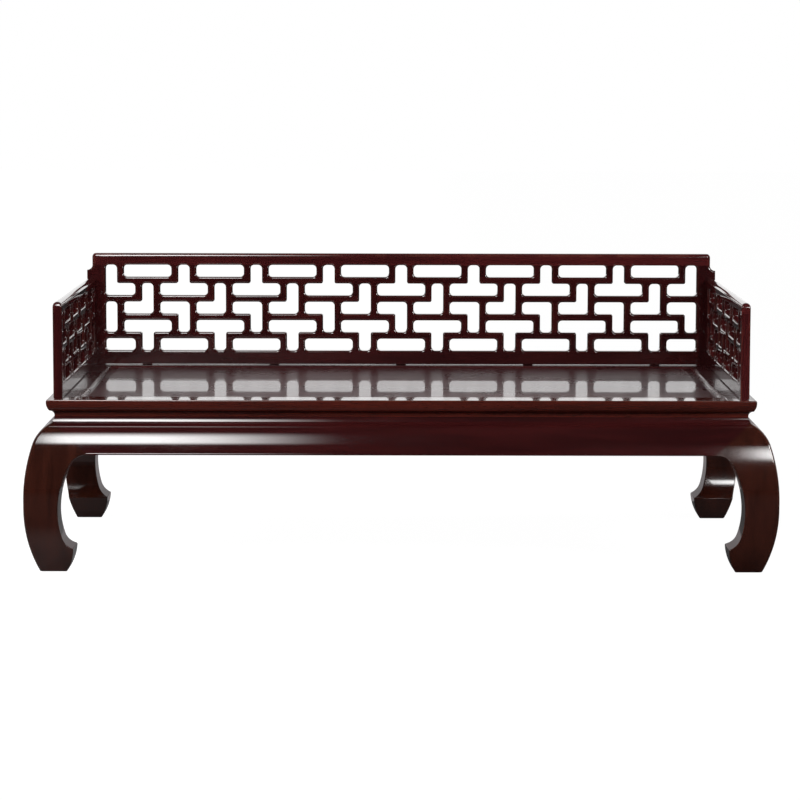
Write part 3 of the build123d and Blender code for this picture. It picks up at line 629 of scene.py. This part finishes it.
def lay_directions(mesh, true_direction=None):
    """Give each face corner of a piece its own shading direction."""
    is_round = [item.value for item in mesh.attributes["edge_round"].data]
    around = [[] for _ in mesh.vertices]
    for face in mesh.polygons:
        places = [mesh.vertices[mesh.loops[corner].vertex_index].co for corner in face.loop_indices]
        for corner, (before, here, after) in zip(face.loop_indices, with_neighbours(places)):
            opening = (after - here).angle(before - here, 0.0)
            around[mesh.loops[corner].vertex_index].append((face, corner, opening))
    directions = [None] * len(mesh.loops)
    for vertex, corners in zip(mesh.vertices, around):
        broad = [entry for entry in corners if not is_round[entry[0].index]]
        for face, corner, _ in broad:
            true = true_direction(face.normal, vertex.co) if true_direction else None
            if true is None:
                alike = [near for near in broad if near[0].normal.angle(face.normal, 0.0) < smooth_angle]
                true = weighed(alike)
            directions[corner] = true.normalized()
        narrow = [entry for entry in corners if is_round[entry[0].index]]
        for face, corner, _ in narrow:
            nearest = min(broad, key=lambda entry: entry[0].normal.angle(face.normal, 0.0), default=None)
            if nearest and nearest[0].normal.angle(face.normal, 0.0) < borrow_angle:
                directions[corner] = directions[nearest[1]]
            else:
                directions[corner] = weighed(narrow).normalized()
    mesh.polygons.foreach_set("use_smooth", [True] * len(mesh.polygons))
    mesh.normals_split_custom_set(directions)


# %% Round the edges that show
weld_distance = 0.00002
flat_angle = math.radians(0.4)
edge_angle = math.radians(24)


def dressed(
    node, axis, rounds, material, reshape=None, true_direction=None, own_rounds=None
):
    """A copy of a part with some edges rounded. A round is (radius, segments, test of an edge)."""
    bm = bmesh.new()
    bm.from_mesh(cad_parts[node].data)
    bmesh.ops.remove_doubles(bm, verts=bm.verts, dist=weld_distance)
    bmesh.ops.dissolve_limit(bm, angle_limit=flat_angle, verts=bm.verts, edges=bm.edges)
    if reshape:
        reshape(bm)
    mark = bm.faces.layers.int.new("edge_round")
    for radius, segments, chosen in rounds:
        sharp = []
        for edge in bm.edges:
            if len(edge.link_faces) != 2 or edge.calc_face_angle() < edge_angle:
                continue
            ends = [vert.co for vert in edge.verts]
            if chosen((ends[0] + ends[1]) / 2, (ends[1] - ends[0]).normalized()):
                sharp.append(edge)
        rounded = bmesh.ops.bevel(
            bm, geom=sharp, offset=radius, offset_type="OFFSET", segments=segments, profile=0.5,
            affect="EDGES", clamp_overlap=False, loop_slide=True,
        )
        for face in rounded["faces"]:
            face[mark] = 1
    bmesh.ops.triangulate(bm, faces=[face for face in bm.faces if len(face.verts) > 4])
    bmesh.ops.recalc_face_normals(bm, faces=bm.faces)
    for face in bm.faces:
        if own_rounds and own_rounds(face.normal):
            face[mark] = 1
    mesh = bpy.data.meshes.new("finished_" + node)
    bm.to_mesh(mesh)
    bm.free()
    offset = somewhere()
    tone = random_places.uniform(-board_spread, board_spread)
    lay_grain(mesh, lambda face: (axis, offset, tone))
    lay_directions(mesh, true_direction)
    finish_piece(mesh, "finished_" + node, material, [node])
    print(f"finished_{node}: {len(mesh.polygons)} faces")


# %% [markdown]
# ### The curve of the swell
#
# Legs and aprons share one outline, from the waist out to the swell and down to the foot. It can be
# read off the outward corner of a leg: there every point lies equally far in from the two sides.

# %% Read the outline off a leg
corner_slack = 0.0002
neck_reach = 0.0175  # the outline ends under the seat, this far in from its edge
profile = {}
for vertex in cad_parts["leg_front_left"].data.vertices:
    inset = vertex.co.x + swell_x
    at_corner = abs(inset - vertex.co.y - swell_y) < corner_slack
    if at_corner and vertex.co.z < apron_top + corner_slack and inset < swell_x - seat_edge_x + neck_reach:
        profile[round(vertex.co.z, 5)] = inset
heights = sorted(profile)
tilts = []
for low, high in zip(heights, heights[1:]):
    tilts.append(math.atan2(profile[high] - profile[low], high - low))
point_tilts = [tilts[0]] + [(first + second) / 2 for first, second in zip(tilts, tilts[1:])] + [tilts[-1]]
print(len(heights), "points on the outline, steepest", round(math.degrees(max(tilts)), 1), "degrees")


def on_swell(height):
    """Inset and tilt of the outline at a height."""
    index = max(0, min(len(heights) - 2, sum(1 for value in heights if value <= height) - 1))
    low, high = heights[index], heights[index + 1]
    share = max(0.0, min(1.0, (height - low) / (high - low)))
    inset = profile[low] + (profile[high] - profile[low]) * share
    return inset, point_tilts[index] + (point_tilts[index + 1] - point_tilts[index]) * share


swell_slack = 0.0006
square_enough = 0.02
turned_away = math.radians(12)


def swell_direction(way, place):
    """The true direction of the outer face at a place, or None for any other face."""
    for along, across, swell in ((0, 1, swell_x), (1, 0, swell_y)):
        if abs(way[across]) < square_enough and way[along] * place[along] > 0:
            inset, tilt = on_swell(place.z)
            if abs(swell - abs(place[along]) - inset) < swell_slack:
                direction = Vector((0, 0, math.sin(tilt)))
                direction[along] = math.copysign(math.cos(tilt), way[along])
                return direction if direction.angle(way) < turned_away else way.copy()
    return None


# %% [markdown]
# ### Legs
#
# Each leg is one thick piece of timber. It swells out under the waist, runs down in a long curve and
# turns in again to a hoof foot. Its outward corner is rounded well, as the hand of a joiner would do
# for a corner that people brush past; the other edges below the apron are only softened.

# %% Dress the legs
corner_round = 0.008
leg_round = 0.0025
foot_round = 0.002
line_slack = 0.0005
floor_slack = 0.001
corner_reach = 0.09
steep_enough = 0.3
along_enough = 0.98
below, above = -1.0, 2.0  # heights past everything


def outward_corner(middle, way):
    """Edges of the corner that faces outwards."""
    equally_far = abs((swell_x - abs(middle.x)) - (swell_y - abs(middle.y))) < line_slack
    return equally_far and swell_x - abs(middle.x) < corner_reach and abs(way.z) > steep_enough


def between(low, high, axis=None):
    """A test for edges between two heights, and along an axis where one is given."""

    def shows(middle, way):
        """Whether an edge with this middle and this direction passes."""
        along = axis is None or abs(way["xyz".index(axis)]) > along_enough
        return along and low < middle.z < high

    return shows


leg_rounds = [
    (corner_round, 5, outward_corner),
    (leg_round, 3, between(floor_slack, apron_foot + line_slack)),
    (foot_round, 2, between(below, floor_slack)),
]
for node in ("leg_front_left", "leg_front_right", "leg_rear_left", "leg_rear_right"):
    dressed(node, "z", leg_rounds, leg_brown, true_direction=swell_direction)

# %% [markdown]
# ### Aprons, waist and seat rails
#
# The aprons carry the swell from leg to leg, the waist is the narrow strip above them, and the seat
# rails are the moulded frame that the railing stands on. Their mitred ends meet the next piece, so
# only edges that run along a piece are rounded. The waist slopes out to its foot; its upper part,
# in the shadow of the seat rail, stands upright. A thin lip runs along the foot of each apron and
# catches the light. The front rail keeps its gloss, and the rails under the railings are rubbed dull.

# %% Dress the long pieces
apron_round = 0.0025
lip_low = 0.0040  # a thin lip runs along the lower edge of an apron
lip_high = 0.0048
lip_reach = 0.0003
rail_round = 0.0035
waist_bend = 0.427  # height at which the slope of the waist ends
waist_upright = 0.0205  # its upright part, in from the edge of the seat
waist_foot = 0.016
waist_play = 0.0015
cut_slack = 0.00001


def cut(bm, place, way):
    """Score a mesh along the plane through a place and square to a way."""
    whole = bm.verts[:] + bm.edges[:] + bm.faces[:]
    bmesh.ops.bisect_plane(bm, geom=whole, dist=cut_slack, plane_co=place, plane_no=way)


def stand_up(bm):
    """Cut the slope of a waist at its bend and make the part above it upright."""
    cut(bm, (0, 0, waist_bend), (0, 0, 1))
    edges = (seat_edge_x, seat_edge_y)
    for vertex in bm.verts:
        if vertex.co.z < waist_bend - line_slack:
            continue
        insets = [edges[i] - abs(vertex.co[i]) for i in (0, 1)]
        for i in (0, 1):
            if waist_foot - line_slack < insets[i] < waist_upright + waist_play:
                vertex.co[i] = math.copysign(edges[i] - waist_upright, vertex.co[i])


def draw_lip(bm):
    """Push out a thin lip along the lower edge of an apron, with a slope on top that catches the light."""
    for rise in (lip_low, lip_high):
        cut(bm, (0, 0, apron_foot + rise), (0, 0, 1))
    for vertex in bm.verts:
        if vertex.co.z > apron_foot + (lip_low + lip_high) / 2:
            continue
        for across, swell in ((0, swell_x), (1, swell_y)):
            inset = on_swell(vertex.co.z)[0]
            if abs(swell - abs(vertex.co[across]) - inset) < swell_slack:
                vertex.co[across] += math.copysign(lip_reach, vertex.co[across])


print("apron foot tilts", round(math.degrees(on_swell(apron_foot + lip_high)[1]), 1), "degrees")
for side, axis in (("front", "x"), ("rear", "x"), ("left", "y"), ("right", "y")):
    apron_rounds = [(apron_round, 3, between(below, apron_foot + line_slack, axis))]
    dressed(f"apron_{side}", axis, apron_rounds, maroon, reshape=draw_lip, true_direction=swell_direction)
    dressed(f"waist_{side}", axis, [], maroon, reshape=stand_up)
    gloss = warm_brown if side == "front" else rubbed_brown
    rail_rounds = [(rail_round, 3, between(seat_top - line_slack, above, axis))]
    dressed(f"seat_rail_{side}", axis, rail_rounds, gloss)

# %% [markdown]
# ### Seat
#
# The seat is a wide panel that floats in the grooves of the rails. Its middle stands a little proud
# of a sunk margin, and its rim is already round in the joined model. The narrow faces of that rim are
# marked as rounds, so that the flat top doesn't take up their direction and mirrors without a bend.

# %% Dress the seat
upright_enough = 0.001
level_enough = 0.9999


def rim_face(way):
    """Whether a face with this direction is one of the narrow faces of the rim."""
    return upright_enough < way.z < level_enough


dressed("seat_panel", "x", [], seat_gloss, own_rounds=rim_face)

# %% [markdown]
# ## The railings
#
# The railings are flat lattices: short bars tenoned into each other round a grid of openings. When
# such a lattice is lacquered the joints close up, so it looks like one pierced board with soft edges.
# It could be made with a Boolean per opening, but it is quicker and cleaner to work on the grid: find
# the outline of each opening, round its corners, and build the board from those outlines.

# %% Where the lattice has wood
level_pattern = (".###", "##.#", ".###", "##.#")  # where wood (#) lies under a row
upright_pattern = ("#..#", ".##.", "#.#.", "#..#", ".##.")  # where wood (#) stands after a column
far = 2.0  # beyond the ends of any railing


class Lattice:
    """The grid of one railing. Row 0 is the top row; a place in the grid is (column, row). The bars of
    the frame round it have a title, a lowest and a highest corner, and whether their grain stands up."""

    def __init__(self, left, right, sill, head, columns, rows, bar):
        """Lay out columns and rows between the bars of the frame; bar is the width of a lattice bar."""
        self.columns, self.rows, self.bar = columns, rows, bar
        self.left, self.sill = left, sill
        self.column_pitch = (right - left + bar) / columns
        self.row_pitch = (head - sill + bar) / rows
        self.frame_bars = (
            (("stile", -1), (-far, 0), (left, head), True),
            (("stile", 1), (right, 0), (far, head), True),
            (("bottom",), (-far, 0), (far, sill), False),
            (("top",), (-far, head), (far, far), False),
        )

    def across(self, column):
        """Left and right side of the openings of a column."""
        low = self.left + column * self.column_pitch
        return low, low + self.column_pitch - self.bar

    def up(self, row):
        """Lower and upper side of the openings of a row."""
        low = self.sill + (self.rows - 1 - row) * self.row_pitch
        return low, low + self.row_pitch - self.bar

    def level_wood(self, line, column):
        """Whether wood lies under row number line in a column."""
        if line in (-1, self.rows - 1):
            return True
        return level_pattern[line][column % 4] == "#"

    def upright_wood(self, row, line):
        """Whether wood stands after column number line in a row."""
        return line in (-1, self.columns - 1) or upright_pattern[row][line % 4] == "#"

    def passes(self, level, line):
        """Whether an upright runs unbroken past a level line."""
        if level in (-1, self.rows - 1) or line in (-1, self.columns - 1):
            return False
        crossed = self.level_wood(level, line) and self.level_wood(level, line + 1)
        return self.upright_wood(level, line) and self.upright_wood(level + 1, line) and not crossed

    def upright_bar(self, row, line):
        """The upright that passes a row, with the number of its top row, and that its grain stands up."""
        while self.passes(row - 1, line):
            row -= 1
        return ("upright", line, row), True


# %% [markdown]
# On a finer grid, where bars and openings each have their own columns and rows, an opening is a patch
# of empty squares. Walking round such a patch with the wood on the right gives its outline.


# %% Find the openings
def open_squares(lattice):
    """Patches of empty squares of the fine grid, each as a set of (across, down)."""
    empty = set()
    for column in range(lattice.columns):
        for row in range(lattice.rows):
            empty.add((2 * column, 2 * row))
            if not lattice.upright_wood(row, column):
                empty.add((2 * column + 1, 2 * row))
            if not lattice.level_wood(row, column):
                empty.add((2 * column, 2 * row + 1))
    patches = []
    while empty:
        patch, edge = set(), [min(empty)]
        while edge:
            square = edge.pop()
            if square not in empty:
                continue
            empty.discard(square)
            patch.add(square)
            edge += [(square[0] + dx, square[1] + dy) for dx, dy in ((1, 0), (-1, 0), (0, 1), (0, -1))]
        patches.append(patch)
    return patches


def fine_line(lattice, number, is_across):
    """Place of line number of the fine grid, counted from the left or from the top."""
    if is_across:
        return lattice.across(number // 2)[number % 2]
    return lattice.up(number // 2)[1 - number % 2]


def outline(lattice, patch):
    """Corners of a patch in order, as (across, up)."""
    steps = {}
    for x, y in patch:
        sides = (
            ((x, y - 1), (x, y), (x + 1, y)),
            ((x + 1, y), (x + 1, y), (x + 1, y + 1)),
            ((x, y + 1), (x + 1, y + 1), (x, y + 1)),
            ((x - 1, y), (x, y + 1), (x, y)),
        )
        for neighbour, start, end in sides:
            if neighbour not in patch:
                steps[start] = end
    start = min(steps)
    walk = [start]
    while steps[walk[-1]] != start:
        walk.append(steps[walk[-1]])
    corners = []
    for before, here, after in with_neighbours(walk):
        if (before[0] == here[0]) != (here[0] == after[0]):
            corners.append((fine_line(lattice, here[0], True), fine_line(lattice, here[1], False)))
    return corners


# %% [markdown]
# The corners are rounded with arcs. A corner where the opening sticks into the wood gets a wide round,
# as the cutter leaves it; a corner where the wood sticks into the opening is only eased.

# %% Round the corners of an outline
wide_round = 0.012
eased_round = 0.0058
arc_steps = 6


def quarter_turn(steps):
    """Sine, cosine and share of each step of a quarter turn."""
    for step in range(steps + 1):
        turn = math.radians(90 * step / steps)
        yield math.sin(turn), math.cos(turn), step / steps


def arc_points(corner, before, after, radius):
    """Points of a round between the two sides of a corner."""
    corner = Vector(corner)
    to_before = (Vector(before) - corner).normalized()
    to_after = (Vector(after) - corner).normalized()
    centre = corner + (to_before + to_after) * radius
    points = []
    for sine, cosine, _ in quarter_turn(arc_steps):
        points.append(centre - to_after * radius * cosine - to_before * radius * sine)
    return points


def rounded_opening(corners, radius):
    """An opening's outline with every corner rounded, as (place, radius) for the softening of its edge."""
    points = []
    for before, corner, after in with_neighbours(corners):
        came, goes = Vector(corner) - Vector(before), Vector(after) - Vector(corner)
        points += arc_points(corner, before, after, wide_round if came.cross(goes) < 0 else eased_round)
    return [(point, radius) for point in points]


# %% [markdown]
# ### A pierced board
#
# The board is made in rings. Round each outline runs a quarter round at the front, a straight wall,
# and a quarter round at the back; the flat front and back are filled between the innermost rings.
# Every point of an outline has its own radius, so the top of a railing can be a full round while the
# openings are only softened.

# %% Build a board from its outlines
round_steps = 4
least_spread = 0.5  # keeps the step short at sharp corners


def inward(before, here, after, radius):
    """The step from an outline point, between its neighbours, to the edge of the flat face."""
    first = (Vector(here) - Vector(before)).normalized()
    second = (Vector(after) - Vector(here)).normalized()
    first_in, second_in = Vector((-first.y, first.x)), Vector((-second.y, second.x))
    middle = (first_in + second_in).normalized()
    return middle * radius / max(middle.dot(first_in), least_spread)


def board(outlines, thickness, to_space, straight_ends=()):
    """A pierced board from outlines of (place, radius), the wood on their left; returns a bmesh."""
    bm = bmesh.new()
    mark = bm.faces.layers.int.new("edge_round")
    levels = []
    for back in (False, True):
        quarter = [(back, 1 - sine, 1 - cosine) for sine, cosine, _ in quarter_turn(round_steps)]
        levels += reversed(quarter) if back else quarter
    open_edges = ([], [])
    for entries in outlines:
        steps = []
        for (place, radius), sides in zip(entries, with_neighbours([place for place, _ in entries])):
            straight = tuple(place) in straight_ends
            steps.append(Vector((0, -radius)) if straight else inward(*sides, radius))
        rings = []
        for back, inset_share, depth_share in levels:
            ring = []
            for (place, radius), step in zip(entries, steps):
                flat = Vector(place) + step * inset_share
                depth = radius * depth_share
                ring.append(bm.verts.new(to_space(flat.x, flat.y, thickness - depth if back else depth)))
            rings.append(ring)
        for number, (ring, following) in enumerate(zip(rings, rings[1:])):
            for corners in zip(ring, ring[1:] + ring[:1], following[1:] + following[:1], following):
                bm.faces.new(corners)[mark] = int(number != round_steps)
        for edges, ring in zip(open_edges, (rings[0], rings[-1])):
            edges += [bm.edges.get(ends) for ends in zip(ring, ring[1:] + ring[:1])]
    for edges in open_edges:
        bmesh.ops.triangle_fill(bm, use_beauty=True, use_dissolve=False, edges=edges)
    bmesh.ops.recalc_face_normals(bm, faces=bm.faces)
    return bm


# %% [markdown]
# The grain turns from bar to bar. To show that, the board is scored along the grid lines, each face
# is asked which bar it lies in, and it takes that bar's direction and a bit of board of its own.


# %% Which bar is where
def bar_at(lattice, across, up):
    """The bar that holds a point of the board: its kind and number, and whether its grain stands up."""
    for title, low, high, stands in lattice.frame_bars:
        if low[0] <= across <= high[0] and low[1] <= up <= high[1]:
            return title, stands
    columns = [c for c in range(-1, lattice.columns) if across > lattice.across(c)[1] - wide_round]
    column = max(columns, default=-1)
    in_upright = lattice.across(column)[1] <= across <= lattice.across(column + 1)[0]
    row_here = next((r for r in range(lattice.rows) if lattice.up(r)[0] <= up <= lattice.up(r)[1]), None)
    if row_here is not None:
        line = column if across < lattice.across(column + 1)[0] + wide_round else column + 1
        return lattice.upright_bar(row_here, line)
    level = next(l for l in range(-1, lattice.rows) if up >= lattice.up(l + 1)[1] or l == lattice.rows - 1)
    if in_upright and lattice.passes(level, column):
        return lattice.upright_bar(level, column)
    start = next((c for c in range(lattice.columns) if across <= lattice.across(c)[1]), lattice.columns - 1)
    while start > 0 and lattice.level_wood(level, start - 1) and not lattice.passes(level, start - 1):
        start -= 1
    return ("level", level, start), False


# %% Dress a railing
def railing(side, lattice, edge_outline, thickness, to_space, tones, straight_ends=()):
    """Build a railing as a pierced board, give its bars their grain, and let it stand for its parts."""
    name = f"{side}_railing"
    outlines = [edge_outline]
    for patch in open_squares(lattice):
        outlines.append(rounded_opening(outline(lattice, patch), opening_round))
    bm = board(outlines, thickness, to_space, straight_ends)
    origin = to_space(0, 0, 0)
    across_way, up_way = to_space(1, 0, 0) - origin, to_space(0, 1, 0) - origin
    for column in range(lattice.columns):
        for place in lattice.across(column):
            cut(bm, to_space(place, 0, 0), across_way)
    for row in range(lattice.rows):
        for place in lattice.up(row):
            cut(bm, to_space(0, place, 0), up_way)
    mesh = bpy.data.meshes.new(name)
    bm.to_mesh(mesh)
    bm.free()

    boards = {}
    level_axis = "x" if abs(across_way.x) > 0.5 else "y"

    def board_of(face):
        """Grain axis, offset and tone of the bar that a face lies in."""
        title, stands = bar_at(lattice, face.center.dot(across_way), face.center.dot(up_way))
        if title not in boards:
            tone = tones[title] if title in tones else random_places.uniform(-board_spread, board_spread)
            boards[title] = ("z" if stands else level_axis, somewhere(), tone)
        return boards[title]

    lay_grain(mesh, board_of)
    mesh.polygons.foreach_set("use_smooth", [True] * len(mesh.polygons))
    mesh.set_sharp_from_angle(angle=smooth_angle)
    starts = (f"{side}_lattice", f"{side}_panel")
    nodes = [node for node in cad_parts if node.startswith(starts) and "keys" not in node]
    piece = finish_piece(mesh, name, maroon, nodes)
    even = piece.modifiers.new("even_shading", "WEIGHTED_NORMAL")
    even.keep_sharp = True
    print(f"{name}: {len(outlines) - 1} openings, {len(boards)} bars, {len(mesh.polygons)} faces")


# %% [markdown]
# ### Back railing
#
# The back railing has a thick frame. Its top rail is a little narrower than the frame below it, and
# the two are joined by a small hollow step at each end.

# %% The back railing
opening_round = 0.0055
frame_round = 0.004
slit_round = 0.0012  # over the slit between the bottom rails and the seat
slit_drop = 0.0015  # the lacquered lower edge comes down this far into the slit
back_stile = 0.056
back_step = 0.016
back_top_round = 0.0095
back_corner = 0.0105
corner_steps = 8
hairline = 0.0004  # the least round, for corners that stand against another piece
back_columns, back_rows, back_bar = 33, 5, 0.020
back_tones = {("top",): 0.75}  # the top rail is made lighter than the rest of the frame
lattice_half = back_half - back_stile
back_lattice = Lattice(
    -lattice_half, lattice_half, back_high.z, top_low.z, back_columns, back_rows, back_bar
)


def back_outline():
    """Outline of the back railing with its radii, the wood on the left."""
    half_points = [
        ((-lattice_half, back_low.z - slit_drop), slit_round),
        ((-lattice_half, seat_top), hairline),
        ((-back_half, seat_top), hairline),
    ]
    for sine, cosine, share in quarter_turn(corner_steps):
        place = (-back_half + back_step * sine, top_low.z - back_step * cosine)
        half_points.append((place, frame_round + (back_top_round - frame_round) * share))
    end = -back_half + back_step
    for sine, cosine, _ in quarter_turn(corner_steps):
        place = (end + back_corner * (1 - cosine), top_high.z - back_corner * (1 - sine))
        half_points.append((place, back_top_round))
    whole = half_points + [((-place[0], place[1]), radius) for place, radius in reversed(half_points)]
    whole.reverse()
    return whole


railing(
    "back",
    back_lattice,
    back_outline(),
    back_high.y - back_low.y,
    lambda across, up, depth: Vector((across, back_low.y + depth, up)),
    back_tones,
)

# %% [markdown]
# ### End railings
#
# The end railings are lower and thinner, and their top rail is rounded over like a handrail. The two
# are mirror images, so one recipe makes both.

# %% The end railings
side_stile = 0.0336
side_top_round = 0.012
side_front_round = 0.0045
side_corner = 0.014
side_columns, side_rows, side_bar = 17, 4, 0.019
side_front = side_top_low.y
side_rear = side_top_high.y
front_in = side_front + side_stile
rear_in = side_rear - side_stile
side_lattice = Lattice(front_in, rear_in, side_high.z, side_top_low.z, side_columns, side_rows, side_bar)


def side_outline():
    """Outline of an end railing with its radii, the wood on the left; across runs from front to rear."""
    top = side_top_high.z
    points = [
        ((side_front, seat_top), side_front_round),
        ((front_in, seat_top), hairline),
        ((front_in, side_low.z - slit_drop), slit_round),
        ((rear_in, side_low.z - slit_drop), slit_round),
        ((rear_in, seat_top), hairline),
        ((side_rear, seat_top), hairline),
        ((side_rear, top), side_top_round),
    ]
    for sine, cosine, share in quarter_turn(corner_steps):
        place = (side_front + side_corner * (1 - sine), top - side_corner * (1 - cosine))
        points.append((place, side_top_round + (side_front_round - side_top_round) * share))
    return points


# The top and the front end of the right railing are made lighter than those of the left one.
for sign, side, front_tone in ((-1, "left", 0.0), (1, "right", 0.9)):
    railing(
        side,
        side_lattice,
        side_outline(),
        side_top_high.x - side_top_low.x,
        lambda across, up, depth, sign=sign: Vector((sign * (back_half - depth), across, up)),
        {("top",): front_tone, ("stile", -1): front_tone},
        [(side_rear, side_top_high.z)],
    )

# %% [markdown]
# ## What stays as it is
#
# Keys, tenons and battens keep the shape of the joined model and get the planed finish. Parts that a
# dressed piece stands for aren't shown, but they get a finish as well, so that nothing is left blank.

# %% Finish the remaining parts
inner_words = ("tenons", "keys", "batten")
for name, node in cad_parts.items():
    inner = any(word in name for word in inner_words)
    node.data.materials.clear()
    node.data.materials.append(bare_wood if inner else maroon)
shown = sorted(o.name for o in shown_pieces())
print(len(shown), "pieces shown")
